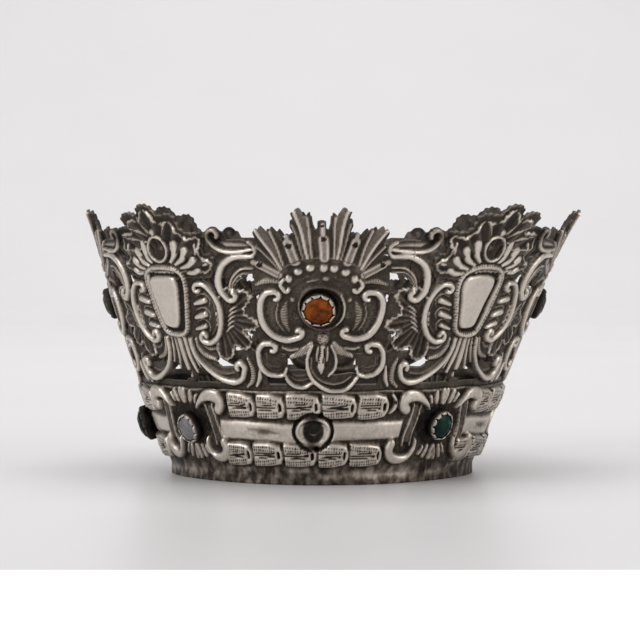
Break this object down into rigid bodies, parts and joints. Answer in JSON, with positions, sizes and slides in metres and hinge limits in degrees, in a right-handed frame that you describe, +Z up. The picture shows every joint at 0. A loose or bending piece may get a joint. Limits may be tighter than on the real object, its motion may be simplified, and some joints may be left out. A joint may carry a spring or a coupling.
{
  "type": "statue crown",
  "caption": "Small pierced silver crown for a statue, with sunbursts and shields above a garlanded band and set stones.",
  "frame": {"origin": "middle of the bounding box's underside, in the plane the crown stands on", "axes": "+Z up along the crown's axis, -Y towards the sunburst with the amber stone, +X to that sunburst's right"},
  "size_m": [0.1234, 0.124, 0.0666],
  "materials": {
    "silver": "tarnished silver, dark in the recesses and rubbed bright on the ridges",
    "amber": "polished, orange-brown",
    "green": "polished, dark green",
    "grey": "clouded, grey-white",
    "smoke": "polished, nearly black"
  },
  "bodies": {
    "root": {"gallery": "silver", "band": "silver", "gallery_front_collar": "silver", "gallery_front_stone": "amber", "gallery_right_collar": "silver", "gallery_right_stone": "smoke", "gallery_back_collar": "silver", "gallery_back_stone": "smoke", "gallery_left_collar": "silver", "gallery_left_stone": "smoke", "clasp_front_right_collar": "silver", "clasp_front_right_stone": "green", "clasp_back_right_collar": "silver", "clasp_back_right_stone": "smoke", "clasp_back_left_collar": "silver", "clasp_back_left_stone": "smoke", "clasp_front_left_collar": "silver", "clasp_front_left_stone": "grey", "garland_left_side_collar": "silver", "garland_left_side_stone": "green"}
  },
  "joints": []
}
